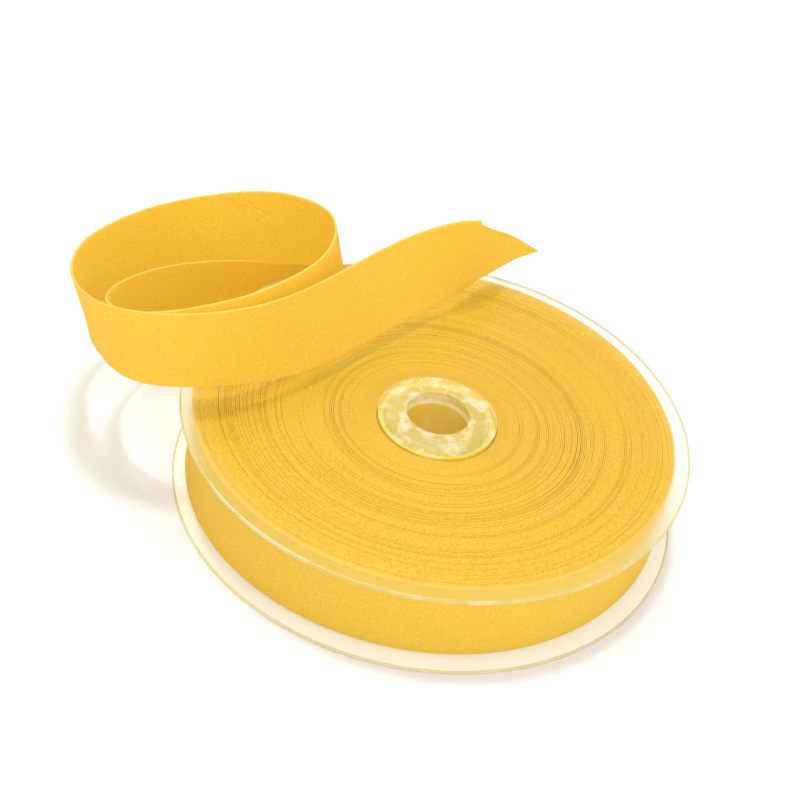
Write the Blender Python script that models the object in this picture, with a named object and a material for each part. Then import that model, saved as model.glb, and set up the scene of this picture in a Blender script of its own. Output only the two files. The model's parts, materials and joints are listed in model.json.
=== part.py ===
"""Roll of folded bias binding on a clear plastic reel, with a loose looped end.

The reel lies flat. Lengths are in metres, angles in degrees, +Z is up. Everything is
modelled about the reel's axis, and an empty then moves it so that the origin is at the
middle of the base of the whole object's box.
"""

import math

import bmesh
import bpy
import numpy as np

MM = 0.001

# binding
TAPE_WIDTH = 25.0 * MM
TAPE_SOLID = 1.0 * MM          # thickness of the loose length as a solid
GAP = 0.3 * MM                 # clearance between neighbouring pieces

# reel
FLANGE_R = 73.5 * MM
FLANGE_T = 1.2 * MM
FLANGE_EDGE = 0.3 * MM         # bevel around the rims
BORE_R = 9.1 * MM
COLLAR_T = 1.5 * MM
COLLAR_DROP = 2.0 * MM         # how far the collar reaches below the upper disc
BOSS_R = 17.1 * MM
BOSS_FLAT_R = 15.4 * MM
BOSS_RISE = 1.2 * MM
CORE_R = 17.0 * MM
CORE_T = 1.6 * MM
BORE_TUBE_R = 9.4 * MM
BORE_TUBE_T = 1.5 * MM
DIMPLE_COUNT = 4
DIMPLE_RING_R = 13.9 * MM
DIMPLE_R = 1.2 * MM
DIMPLE_DEPTH = 0.45 * MM
DIMPLE_FIRST = 30.0
TURN_STEPS = 96

# winding
WOUND_R = 69.0 * MM            # radius where the last turn has left
WOUND_OFF_X = -0.7 * MM        # the turns sit a little off the reel's axis
WOUND_OFF_Y = 2.0 * MM
LEAVE_ANGLE = 102.0            # where the loose length leaves, about the winding's middle
STEP_WIDTH = 0.4 * MM          # length of the small ramp at the end of the last turn
WOUND_STEPS = 120
OUTLINE_WAVES = ((2, 0.20 * MM, 35.0), (5, 0.12 * MM, 80.0))    # count, height, phase

# share of the way out, and how far the turns' edges stand back there
BANDS = (
    {"out": 0.00, "back": 0.50 * MM},
    {"out": 0.10, "back": 0.10 * MM},
    {"out": 0.30, "back": 0.35 * MM},
    {"out": 0.52, "back": 0.00 * MM},
    {"out": 0.74, "back": 0.30 * MM},
    {"out": 0.93, "back": 0.05 * MM},
    {"out": 1.00, "back": 0.70 * MM},
)

Z_LOW = FLANGE_T + GAP
Z_HIGH = Z_LOW + TAPE_WIDTH
Z_TOP_DISC = Z_HIGH + GAP
Z_TOP = Z_TOP_DISC + FLANGE_T

# loose length: middle line in mm from the reel's axis and base, and the lean of the
# binding's width from upright, in degrees to the left and to the back
STATIONS = (
    {"x": -36.5, "y": 65.5, "z": 14.0, "left": 0, "back": 0},      # between the flanges
    {"x": -52.0, "y": 60.5, "z": 14.2, "left": 0, "back": 1},
    {"x": -70.0, "y": 52.5, "z": 16.2, "left": -3, "back": 13},    # first back sweep
    {"x": -87.0, "y": 35.5, "z": 21.5, "left": 2, "back": 19},
    {"x": -95.2, "y": 17.5, "z": 27.5, "left": 8, "back": 20},     # inner left turn
    {"x": -93.0, "y": -2.5, "z": 35.0, "left": 21, "back": 14},
    {"x": -80.0, "y": -11.0, "z": 41.5, "left": 20, "back": 3},
    {"x": -65.0, "y": -7.5, "z": 45.0, "left": 9, "back": 3},      # first front sweep
    {"x": -48.5, "y": 8.5, "z": 45.5, "left": 8, "back": 7},
    {"x": -37.5, "y": 32.5, "z": 45.2, "left": 11, "back": 2},     # right turn
    {"x": -40.5, "y": 49.0, "z": 44.5, "left": 14, "back": 0},
    {"x": -53.0, "y": 60.0, "z": 41.3, "left": 20, "back": -5},
    {"x": -72.0, "y": 62.3, "z": 34.3, "left": 17, "back": 3},     # second back sweep
    {"x": -88.5, "y": 56.5, "z": 30.5, "left": 12, "back": 7},
    {"x": -102.5, "y": 41.0, "z": 30.5, "left": 9, "back": 11},
    {"x": -108.0, "y": 20.3, "z": 33.8, "left": 14, "back": 10},   # outer left turn
    {"x": -102.5, "y": 0.5, "z": 38.0, "left": 20, "back": 2},
    {"x": -89.0, "y": -12.2, "z": 42.3, "left": 13, "back": 1},
    {"x": -63.5, "y": -10.8, "z": 45.2, "left": 3, "back": 4},     # second front sweep
    {"x": -42.5, "y": 6.0, "z": 44.0, "left": 11, "back": 15},
    {"x": -27.0, "y": 27.8, "z": 42.7, "left": 18, "back": 13},
    {"x": -4.0, "y": 55.8, "z": 43.0, "left": 8, "back": 8},       # over the upper disc
    {"x": 3.0, "y": 63.0, "z": 42.8, "left": 0, "back": 0},
    {"x": 16.0, "y": 80.3, "z": 42.9, "left": 0, "back": 0},
    {"x": 22.0, "y": 88.5, "z": 43.0, "left": 4, "back": 2},       # cut end
)
CUT_RUN = 31.0 * MM            # how much shorter the upper edge is at the slanting cut
CUT_BLEND = 70.0 * MM          # stretch over which the points slide into the slant
STRIP_STEPS = 130
STRIP_ACROSS = 4


def clear_scene():
    for old in list(bpy.data.objects):
        bpy.data.objects.remove(old, do_unlink=True)


def make_material(name, colour, roughness, transmission=0.0):
    material = bpy.data.materials.new(name)
    material.use_nodes = True
    shader = material.node_tree.nodes["Principled BSDF"]
    shader.inputs["Base Color"].default_value = (*colour, 1.0)
    shader.inputs["Roughness"].default_value = roughness
    shader.inputs["Metallic"].default_value = 0.0
    shader.inputs["Transmission Weight"].default_value = transmission
    return material


def make_object(name, points, faces, material, parent):
    """Mesh object with its faces turned outwards and its round faces shaded smooth."""
    mesh = bpy.data.meshes.new(name)
    mesh.from_pydata([tuple(map(float, p)) for p in points], [], faces)
    work = bmesh.new()
    work.from_mesh(mesh)
    bmesh.ops.recalc_face_normals(work, faces=work.faces)
    work.to_mesh(mesh)
    work.free()
    mesh.shade_smooth()
    mesh.set_sharp_from_angle(angle=math.radians(35))
    mesh.materials.append(material)
    piece = bpy.data.objects.new(name, mesh)
    piece.parent = parent
    bpy.context.collection.objects.link(piece)
    return piece


def ring_faces(rings, count):
    """Quads between neighbouring rings of points, with the last ring joined to the first."""
    faces = []
    for i in range(rings):
        j = (i + 1) % rings
        for k in range(count):
            n = (k + 1) % count
            faces.append((i * count + k, j * count + k, j * count + n, i * count + n))
    return faces


def turned(name, profile, material, parent):
    """A closed profile of (radius, height) points turned about the reel's axis."""
    points = []
    for step in range(TURN_STEPS):
        angle = 2 * math.pi * step / TURN_STEPS
        points += [(r * math.cos(angle), r * math.sin(angle), z) for r, z in profile]
    return make_object(name, points, ring_faces(TURN_STEPS, len(profile)), material, parent)


def rim(z_low, z_high):
    """The outer edge of a disc, bevelled above and below."""
    return [
        (FLANGE_R - FLANGE_EDGE, z_low),
        (FLANGE_R, z_low + FLANGE_EDGE),
        (FLANGE_R, z_high - FLANGE_EDGE),
        (FLANGE_R - FLANGE_EDGE, z_high),
    ]


def shoulder(steps=4):
    """Quarter-ellipse from the upper disc's face to the flat top of its raised centre."""
    points = []
    for i in range(steps + 1):
        turn = 0.5 * math.pi * i / steps
        r = BOSS_FLAT_R + (BOSS_R - BOSS_FLAT_R) * math.cos(turn)
        points.append((r, Z_TOP + BOSS_RISE * math.sin(turn)))
    return points


def make_flange_bottom(parent):
    material = make_material("lower disc plastic", (0.93, 0.93, 0.88), 0.08, 0.9)
    profile = [(BORE_R, 0.0), *rim(0.0, FLANGE_T), (BORE_R, FLANGE_T)]
    return turned("flange_bottom", profile, material, parent)


def make_tube(name, outer, wall, top, parent):
    material = make_material(name + " plastic", (0.93, 0.93, 0.88), 0.08, 0.9)
    inner = outer - wall
    profile = [(inner, Z_LOW), (outer, Z_LOW), (outer, top), (inner, top)]
    return turned(name, profile, material, parent)


def dimple_cutter(parent):
    """Short round pegs that press the dimples into the raised centre."""
    work = bmesh.new()
    for i in range(DIMPLE_COUNT):
        angle = math.radians(DIMPLE_FIRST + 360.0 * i / DIMPLE_COUNT)
        made = bmesh.ops.create_cone(
            work, cap_ends=True, segments=16, radius1=0.7 * DIMPLE_R, radius2=DIMPLE_R,
            depth=2 * DIMPLE_DEPTH)
        place = (DIMPLE_RING_R * math.cos(angle), DIMPLE_RING_R * math.sin(angle),
                 Z_TOP + BOSS_RISE)
        bmesh.ops.translate(work, verts=made["verts"], vec=place)
    mesh = bpy.data.meshes.new("dimple_cutter")
    work.to_mesh(mesh)
    work.free()
    cutter = bpy.data.objects.new("dimple_cutter", mesh)
    cutter.parent = parent
    cutter.hide_render = True
    cutter.display_type = 'WIRE'
    bpy.context.collection.objects.link(cutter)
    return cutter


def make_flange_top(parent):
    material = make_material("upper disc plastic", (0.93, 0.93, 0.88), 0.08, 0.9)
    collar_out = BORE_R + COLLAR_T
    collar_low = Z_TOP_DISC - COLLAR_DROP
    profile = [
        (BORE_R, collar_low),
        (collar_out, collar_low),
        (collar_out, Z_TOP_DISC),
        *rim(Z_TOP_DISC, Z_TOP),
        *shoulder(),
        (BORE_R + FLANGE_EDGE, Z_TOP + BOSS_RISE),
        (BORE_R, Z_TOP + BOSS_RISE - FLANGE_EDGE),
    ]
    disc = turned("flange_top", profile, material, parent)
    cut = disc.modifiers.new("dimples", 'BOOLEAN')
    cut.object = dimple_cutter(parent)
    cut.operation = 'DIFFERENCE'
    return disc


def wound_radius(turn):
    """Outer radius of the winding, from 0 where the loose length leaves to 1 a turn on."""
    angle = math.radians(LEAVE_ANGLE) + 2 * math.pi * turn
    radius = WOUND_R + (TAPE_SOLID + GAP) * turn
    fade = math.sin(math.pi * turn)
    for count, height, phase in OUTLINE_WAVES:
        radius += height * fade * math.sin(count * angle + math.radians(phase))
    return radius


def wound_point(turn, out, back, top):
    """Point of the winding at a share of a turn round and a share of the way out."""
    angle = math.radians(LEAVE_ANGLE) + 2 * math.pi * turn
    edge = np.array([
        WOUND_OFF_X + wound_radius(turn) * math.cos(angle),
        WOUND_OFF_Y + wound_radius(turn) * math.sin(angle),
    ])
    around = math.atan2(edge[1], edge[0])
    inner = (CORE_R + GAP) * np.array([math.cos(around), math.sin(around)])
    x, y = inner + out * (edge - inner)
    return x, y, Z_HIGH - back if top else Z_LOW + back


def make_winding(parent):
    """Ring of wound turns: a step at its last turn, and bands that stand back a little."""
    material = make_material("wound binding", (0.86, 0.55, 0.06), 0.85)
    last = 1.0 - STEP_WIDTH / (2 * math.pi * WOUND_R)
    points = []
    for step in range(WOUND_STEPS):
        turn = last * step / (WOUND_STEPS - 1)
        points += [wound_point(turn, b["out"], b["back"], False) for b in BANDS]
        points += [wound_point(turn, b["out"], b["back"], True) for b in reversed(BANDS)]
    faces = ring_faces(WOUND_STEPS, 2 * len(BANDS))
    return make_object("winding", points, faces, material, parent)


def natural_spline(at, values, wanted):
    """Natural cubic curve through values at the lengths given, read at other lengths."""
    count = len(at)
    span = np.diff(at)
    matrix = np.eye(count)
    right = np.zeros_like(values)
    for i in range(1, count - 1):
        matrix[i, i - 1:i + 2] = span[i - 1], 2 * (span[i - 1] + span[i]), span[i]
        slope_after = (values[i + 1] - values[i]) / span[i]
        slope_before = (values[i] - values[i - 1]) / span[i - 1]
        right[i] = 6 * (slope_after - slope_before)
    bend = np.linalg.solve(matrix, right)
    k = np.clip(np.searchsorted(at, wanted, side="right") - 1, 0, count - 2)
    h = span[k][:, None]
    a = (at[k + 1] - wanted)[:, None] / h
    b = (wanted - at[k])[:, None] / h
    curved = (a ** 3 - a) * bend[k] + (b ** 3 - b) * bend[k + 1]
    return a * values[k] + b * values[k + 1] + h ** 2 / 6 * curved


def strip_start():
    """Middle of the loose length where it leaves the winding."""
    radius = WOUND_R + GAP + 0.5 * TAPE_SOLID
    angle = math.radians(LEAVE_ANGLE) + STEP_WIDTH / radius
    x = WOUND_OFF_X + radius * math.cos(angle)
    y = WOUND_OFF_Y + radius * math.sin(angle)
    return x, y, 0.5 * (Z_LOW + Z_HIGH)


def strip_route():
    """Lengths, middle points and width directions at the stations."""
    middles = [strip_start()]
    widths = [(0.0, 0.0, 1.0)]
    for row in STATIONS:
        middles.append((row["x"] * MM, row["y"] * MM, row["z"] * MM))
        left = math.tan(math.radians(row["left"]))
        back = math.tan(math.radians(row["back"]))
        widths.append((-left, back, 1.0))
    middles = np.array(middles)
    widths = np.array(widths)
    widths /= np.linalg.norm(widths, axis=1)[:, None]
    at = np.concatenate([[0.0], np.cumsum(np.linalg.norm(np.diff(middles, axis=0), axis=1))])
    return at, middles, widths


def strip_frames(at, middles, widths, wanted):
    """Middle, width direction and face direction of the strip at the lengths wanted."""
    small = 0.05 * MM
    middle = natural_spline(at, middles, wanted)
    ahead = natural_spline(at, middles, wanted + small) - natural_spline(at, middles, wanted - small)
    ahead /= np.linalg.norm(ahead, axis=1)[:, None]
    width = natural_spline(at, widths, wanted)
    width -= (width * ahead).sum(axis=1)[:, None] * ahead
    width /= np.linalg.norm(width, axis=1)[:, None]
    return middle, width, np.cross(ahead, width)


def strip_points():
    """Grid of the strip's two faces: rows along it, columns down one face and up the other."""
    at, middles, widths = strip_route()
    even = np.linspace(0.0, at[-1], STRIP_STEPS)
    ease = np.clip((even - at[-1] + CUT_BLEND) / CUT_BLEND, 0.0, 1.0) ** 2
    columns = []
    for face in (1, -1):
        shares = np.linspace(-1.0, 1.0, STRIP_ACROSS + 1) * face
        for share in shares:
            wanted = even - CUT_RUN * 0.5 * (share + 1.0) * ease
            middle, width, normal = strip_frames(at, middles, widths, wanted)
            across = 0.5 * TAPE_WIDTH * share * width
            columns.append(middle + across + 0.5 * TAPE_SOLID * face * normal)
    return np.stack(columns, axis=1)


def make_loose_end(grid, parent):
    """The loose length as one closed strip with a slanting cut at its free end."""
    material = make_material("loose binding", (0.90, 0.58, 0.07), 0.85)
    rows, columns, _ = grid.shape
    faces = []
    for i in range(rows - 1):
        for k in range(columns):
            n = (k + 1) % columns
            faces.append((i * columns + k, (i + 1) * columns + k,
                          (i + 1) * columns + n, i * columns + n))
    for row in (0, (rows - 1) * columns):
        for k in range(STRIP_ACROSS):
            other = columns - 1 - k
            faces.append((row + k, row + k + 1, row + other - 1, row + other))
    return make_object("loose_end", grid.reshape(-1, 3), faces, material, parent)


def main():
    clear_scene()
    grid = strip_points()
    low = np.minimum(grid.reshape(-1, 3).min(axis=0), -FLANGE_R)
    high = np.maximum(grid.reshape(-1, 3).max(axis=0), FLANGE_R)
    roll = bpy.data.objects.new("roll", None)
    roll.location = (-0.5 * (low[0] + high[0]), -0.5 * (low[1] + high[1]), 0.0)
    bpy.context.collection.objects.link(roll)
    make_flange_bottom(roll)
    make_tube("core_tube", CORE_R, CORE_T, Z_HIGH, roll)
    bore_tube_top = Z_TOP_DISC - COLLAR_DROP - GAP
    make_tube("bore_tube", BORE_TUBE_R + BORE_TUBE_T, BORE_TUBE_T, bore_tube_top, roll)
    make_flange_top(roll)
    make_winding(roll)
    make_loose_end(grid, roll)


main()
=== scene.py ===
"""Looks for a roll of folded bias binding on a clear plastic reel.

Laid out as an add-on and run as a script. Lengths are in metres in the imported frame: the
reel lies on z = 0 and its axis stands at AXIS. The binding is one long strip: its inner
turns are one spiral body, and its last turn and loose length are one sheet of folded cloth.
"""

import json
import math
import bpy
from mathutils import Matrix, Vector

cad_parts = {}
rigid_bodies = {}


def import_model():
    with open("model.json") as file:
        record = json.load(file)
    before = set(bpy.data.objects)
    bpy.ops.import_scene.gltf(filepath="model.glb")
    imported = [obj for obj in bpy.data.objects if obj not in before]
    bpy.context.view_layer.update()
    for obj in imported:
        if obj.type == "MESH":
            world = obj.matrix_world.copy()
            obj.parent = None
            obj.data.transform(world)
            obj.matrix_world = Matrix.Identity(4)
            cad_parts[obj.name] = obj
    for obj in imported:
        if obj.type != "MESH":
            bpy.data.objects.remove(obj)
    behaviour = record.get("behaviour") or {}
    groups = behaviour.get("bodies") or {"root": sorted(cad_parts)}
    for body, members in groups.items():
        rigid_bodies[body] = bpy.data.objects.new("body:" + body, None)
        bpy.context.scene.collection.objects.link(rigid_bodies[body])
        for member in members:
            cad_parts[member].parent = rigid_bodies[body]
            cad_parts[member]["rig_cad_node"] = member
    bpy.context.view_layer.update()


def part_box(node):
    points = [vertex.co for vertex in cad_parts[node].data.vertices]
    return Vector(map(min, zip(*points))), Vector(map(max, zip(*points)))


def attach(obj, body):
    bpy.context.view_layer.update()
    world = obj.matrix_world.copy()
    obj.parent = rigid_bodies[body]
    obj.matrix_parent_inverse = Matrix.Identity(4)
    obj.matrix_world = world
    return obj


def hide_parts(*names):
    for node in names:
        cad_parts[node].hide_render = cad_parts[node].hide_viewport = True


bl_info = {
    "name": "Bias Binding Roll",
    "version": (1, 0, 0),
    "blender": (4, 5, 0),
    "location": "3D View > Sidebar > Binding",
    "description": "Dresses the solids of a roll of bias binding with cloth and clear plastic",
    "category": "Object",
}

import bpy
import numpy as np
from mathutils import Matrix, Vector

MM = 0.001
TINY = 0.0001 * MM

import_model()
LOWER_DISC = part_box("flange_bottom")
UPPER_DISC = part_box("flange_top")
CORE_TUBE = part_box("core_tube")
BORE_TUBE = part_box("bore_tube")
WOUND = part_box("winding")

AXIS = np.array([
    0.5 * (LOWER_DISC[0].x + LOWER_DISC[1].x),
    0.5 * (LOWER_DISC[0].y + LOWER_DISC[1].y),
])
DISC_R = 0.5 * (LOWER_DISC[1].x - LOWER_DISC[0].x)
DISC_T = LOWER_DISC[1].z - LOWER_DISC[0].z
WOUND_LOW = WOUND[0].z
WOUND_HIGH = WOUND[1].z
CORE_R = 0.5 * (CORE_TUBE[1].x - CORE_TUBE[0].x)

# x, y and z of the loose length's middle line in mm from the reel's axis and base, and the
# lean of the binding's width from upright, in degrees to the left and to the back
STATIONS = (
    (-36.5, 65.5, 14.0, 0, 0),      # between the discs
    (-52.0, 60.5, 14.2, 0, 1),
    (-70.0, 52.3, 15.8, -3, 12),    # first back sweep
    (-86.8, 35.3, 20.9, 2, 17),
    (-94.4, 17.3, 27.1, 8, 17),     # inner left turn
    (-92.2, -2.3, 35.1, 21, 7),
    (-80.0, -11.0, 41.8, 20, -1),
    (-65.0, -7.5, 45.0, 9, 3),      # first front sweep
    (-48.2, 8.3, 45.0, 8, 7),
    (-36.3, 32.3, 45.0, 13.5, 2),   # right turn
    (-39.3, 49.0, 44.5, 16.5, 0),
    (-53.0, 57.8, 41.3, 20, 5),
    (-72.0, 60.8, 34.5, 17, 10),    # second back sweep
    (-88.5, 56.5, 30.5, 12, 7),
    (-102.5, 41.0, 30.5, 9, 11),
    (-108.0, 20.3, 33.8, 14, 10),   # outer left turn
    (-102.1, 0.4, 37.9, 21, 2),
    (-89.0, -12.4, 42.1, 14, 0),
    (-63.5, -10.8, 45.2, 3, 4),     # second front sweep
    (-42.5, 6.0, 43.6, 11, 13),
    (-27.0, 27.8, 42.5, 18, 11.5),
    (-4.0, 55.8, 43.0, 8, 8),       # over the upper disc
    (3.0, 63.0, 42.8, 0, 0),
    (16.0, 80.3, 42.9, 0, 0),
    (22.0, 88.5, 43.0, 4, 2),       # cut end
)

# share of the way out through the turns, and how far their edges stand back there
BANDS = (
    (0.00, 0.50 * MM),
    (0.10, 0.12 * MM),
    (0.30, 0.30 * MM),
    (0.52, 0.04 * MM),
    (0.74, 0.26 * MM),
    (0.93, 0.08 * MM),
    (1.00, 0.30 * MM),
)

# how fine the yarn's noise is across and along the threads, in parts a metre, and its share
YARN = (
    (700.0, 3000.0, 1.3),
    (3000.0, 700.0, 1.3),
    (1100.0, 1100.0, 1.2),
)

# name, place, size and share of the power of each lamp
LAMPS = (
    ("overhead", (-0.16, 0.30, 1.2), 0.12, 0.38),
    ("back", (-0.24, 0.58, 1.05), 0.10, 0.11),
    ("front", (-0.02, -0.95, 0.90), 0.14, 0.25),
    ("right", (0.85, -0.55, 0.55), 0.60, 0.20),
    ("left", (-0.85, -0.35, 0.60), 0.60, 0.06),
)
LIT_HEIGHT = 20.0 * MM         # height of the point that the lamps shine on
FLOOR_HALF = 4.0               # half the side of the floor
FLOOR_GAP = 0.15 * MM          # how far the floor lies under the reel

FOLD_WEAR_AND_HIGHLIGHT_WIDTH = 0.7 * MM          # how far the paler fold, partly wear and partly a painted highlight, reaches from a folded edge
FOLD_WEAR_AND_HIGHLIGHT_SHARE = 0.16              # how much of that paler fold colour shows at the edge itself
GLOW_THROUGH = 0.16            # share of the light on one side of loose cloth that shows through
GLOW_RISE = 60.0 * MM          # stretch over which that share rises from nothing

OVERLAP = 20.0 / 360.0         # share of a turn that the last turn's sheet starts early
CUT_BLEND = 70.0 * MM          # stretch over which the points slide into the slanting cut
CUT_BOW = 5.5 * MM             # how strongly the cut bows between its corners
SEAM_BLEND = 95.0 * MM         # stretch over which the points slide into the seam's slope
SEAM_RISE = 0.11 * MM          # how far the cloth stands up beside the seam
SEAM_GROOVE = 0.30 * MM        # depth of the seam's groove
RIPPLE = 0.035 * MM            # height of each soft ripple in the loose cloth
RIPPLE_WAVES = (23.0, 14.5, 9.2)    # lengths of the ripples in mm
THREAD_RADIUS = 45.0 * MM      # radius at which the turns' threads are laid out
ROLL_STEP = 1.6 * MM           # distance between rows of points on the roll
LOOSE_STEP = 1.05 * MM         # and on the loose length


def a_length(name, description, default, low=0.0):
    """Setting for a length in metres."""
    return bpy.props.FloatProperty(name=name, description=description, default=default, min=low,
                                   subtype='DISTANCE', unit='LENGTH')


def an_angle(name, description, degrees):
    """Setting for an angle, given here in degrees."""
    return bpy.props.FloatProperty(name=name, description=description, subtype='ANGLE',
                                   unit='ROTATION', default=math.radians(degrees))


def a_count(name, description, default, low, high):
    """Setting for a whole number."""
    return bpy.props.IntProperty(name=name, description=description, default=default,
                                 min=low, max=high)


def a_number(name, description, default, low=0.0):
    """Setting for a plain number."""
    return bpy.props.FloatProperty(name=name, description=description, default=default, min=low)


def a_colour(name, description, default):
    """Setting for a colour."""
    return bpy.props.FloatVectorProperty(name=name, description=description, default=default,
                                         min=0.0, max=1.0, size=3, subtype='COLOR')


class ReelSettings(bpy.types.PropertyGroup):
    """Sizes of the clear reel."""

    disc_radius: a_length("Disc radius", "Outer radius of both discs", DISC_R, 0.01)
    rim_round: a_length("Rim rounding", "Radius of the discs' rounded rims", 0.35 * MM)
    bore_radius: a_length("Bore radius", "Radius of the spindle bore", 9.1 * MM, 0.001)
    collar_wall: a_length("Collar wall", "Thickness of the collar down the bore", 1.5 * MM)
    boss_radius: a_length("Raised centre", "Radius at the foot of the raised centre", 17.1 * MM)
    boss_flat: a_length("Raised centre's flat", "Radius of the raised centre's top", 15.4 * MM)
    boss_rise: a_length("Raised centre's height", "Height over the disc", 1.2 * MM)
    core_wall: a_length("Core wall", "Wall of the tube that carries the turns", 1.6 * MM)
    dimple_count: a_count("Dimples", "Shallow round dimples in the raised centre", 4, 0, 12)
    dimple_ring: a_length("Dimple ring", "Radius of the ring of dimples", 13.9 * MM)
    dimple_radius: a_length("Dimple radius", "Radius of each dimple", 1.15 * MM, 0.0002)
    dimple_depth: a_length("Dimple depth", "Depth of each dimple", 0.42 * MM)
    dimple_first: an_angle("First dimple", "Angle of the first dimple round the axis", 30.0)
    turn_steps: a_count("Steps round", "Faces round each turned piece", 384, 24, 1024)


class BindingSettings(bpy.types.PropertyGroup):
    """Sizes of the folded binding, wound and loose."""

    width: a_length("Folded width", "Width between the folded edges", WOUND_HIGH - WOUND_LOW, 0.005)
    cloth: a_length("Cloth thickness", "Thickness of one layer of cotton", 0.27 * MM, 0.0001)
    fold_thickness: a_length("Thickness at the folds", "Both layers at a folded edge", 0.80 * MM)
    middle_thickness: a_length("Thickness in the middle", "Both layers in the middle", 0.62 * MM)
    raw_gap: a_length("Gap between raw edges", "Gap where the turned-in edges meet", 0.08 * MM)
    turns: a_count("Inner turns", "Turns of the spiral under the last one", 96, 4, 200)
    turn_steps: a_count("Steps a turn", "Faces along each turn", 168, 24, 400)
    leave_radius: a_length("Leaving radius", "Last turn's middle where it leaves", 69.8 * MM, 0.01)
    leave_angle: an_angle("Leaving angle", "Angle where the loose length leaves", 102.3)
    last_pitch: a_length("Last turn's step", "How much further out the last turn lies", 0.85 * MM)
    off_x: a_length("Offset X", "How far the outer turns sit off the axis", -0.7 * MM, -0.01)
    off_y: a_length("Offset Y", "How far the outer turns sit off the axis", 2.0 * MM, -0.01)
    cut_run: a_length("Slant of the cut", "How much shorter the upper fold is cut", 32.0 * MM)
    cut_blunt: a_length("Blunt corner", "Width of the square snip at the upper corner", 2.0 * MM)
    seam_at: a_length("Seam's place", "From where the strip leaves to its join", 272.0 * MM)
    seam_slope: a_number("Seam's slope", "Run of the join along the strip for its width", -1.2, -3.0)


class FinishSettings(bpy.types.PropertyGroup):
    """Colours and finishes."""

    cotton: a_colour("Cotton", "Colour of the dyed cotton", (0.90, 0.592, 0.082))
    cotton_shade: a_colour("Cotton shade", "Colour between the threads", (0.80, 0.460, 0.032))
    # paler fold colour: partly wear, partly a painted highlight where the folded edges catch the
    # light
    cotton_fold_wear_and_highlight: a_colour("Worn and lit fold cotton", "Colour along the folded edges", (0.92, 0.70, 0.34))
    plastic: a_colour("Plastic", "Tint of the clear plastic", (0.975, 0.985, 0.93))
    # painted light: the rim's golden colour stands for light from the yellow cloth piped along the
    # discs' edges
    rim: a_colour("Rim", "Colour that gathers in the discs' edges", (0.68, 0.57, 0.19))
    hub: a_colour("Hub", "Colour of the raised centre", (0.82, 0.69, 0.24))
    core: a_colour("Core", "Core tube with the binding behind it", (0.86, 0.63, 0.06))
    thread_pitch: a_length("Thread pitch", "Distance between threads", 0.40 * MM, 0.0001)


class StageSettings(bpy.types.PropertyGroup):
    """Camera and lights."""

    distance: a_length("Camera distance", "From the point looked at", 625.5 * MM, 0.1)
    elevation: an_angle("Camera elevation", "Height of the view above the horizon", 39.31)
    roll: an_angle("Camera roll", "Turn of the frame about the line of sight", 11.017)
    aim_x: a_length("Aim X", "Point looked at, from the reel's axis", -11.43 * MM, -1.0)
    aim_y: a_length("Aim Y", "Point looked at, from the reel's axis", 37.93 * MM, -1.0)
    lens: a_number("Lens", "Focal length in millimetres for a sensor 36 mm wide", 91.17, 10.0)
    fill: a_number("Fill", "Strength of the even light from all round", 0.69)
    key: a_number("Key", "Power of the lamps together, in watts", 12.4)
    floor: a_colour("Floor", "Colour of the pale board", (0.905, 0.92, 0.96))


def smoothstep(x):
    """0 below 0, 1 above 1, and 3x^2 - 2x^3 between."""
    x = np.clip(x, 0.0, 1.0)
    return x * x * (3.0 - 2.0 * x)


def knots(rng, count, low, high):
    """A smooth random line: random values at whole numbers, joined by smoothsteps."""
    values = rng.uniform(low, high, count + 2)

    def line(x):
        x = np.clip(x, 0.0, count)
        k = np.floor(x).astype(int)
        s = smoothstep(x - k)
        return values[k] * (1.0 - s) + values[k + 1] * s

    return line


def unit(vectors):
    """The same vectors at length 1."""
    return vectors / np.linalg.norm(vectors, axis=-1)[..., None]


def grid_faces(rows, columns, wrap_rows=False, wrap_columns=False):
    """Corners of the quads of a grid of points, numbered row by row."""
    i, j = np.meshgrid(
        np.arange(rows if wrap_rows else rows - 1),
        np.arange(columns if wrap_columns else columns - 1), indexing="ij")
    next_i = (i + 1) % rows
    next_j = (j + 1) % columns
    corners = (i * columns + j, next_i * columns + j, next_i * columns + next_j,
               i * columns + next_j)
    return np.stack(corners, axis=-1).reshape(-1, 4)


def add_piece(name, points, faces, uv, materials, node, zones=None):
    """Mesh object of quads that stands for a solid and rides on the root body.

    The faces are turned outwards by the sign of the volume that they enclose, which is the
    sum of a . (b x c) over their halves. zones gives each face's material by number.
    """
    a, b, c, d = points[faces].transpose(1, 0, 2)
    volume = (a * np.cross(b, c)).sum() + (a * np.cross(c, d)).sum()
    if volume < 0:
        faces = faces[:, ::-1]
        uv = uv[:, ::-1]
    mesh = bpy.data.meshes.new(name)
    mesh.from_pydata(points.tolist(), [], faces.tolist())
    layer = mesh.uv_layers.new(name="cloth")
    layer.data.foreach_set("uv", uv.astype(np.float32).ravel())
    mesh.shade_smooth()
    mesh.set_sharp_from_angle(angle=math.radians(50))
    for material in materials:
        mesh.materials.append(material)
    if zones is not None:
        mesh.polygons.foreach_set("material_index", zones.astype(np.int32))
    piece = place_in_scene(name, mesh)
    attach(piece, "root")
    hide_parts(node)
    return piece


def place_in_scene(name, data):
    """New object that shows the data given, linked to the scene."""
    thing = bpy.data.objects.new(name, data)
    bpy.context.scene.collection.objects.link(thing)
    return thing


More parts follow.
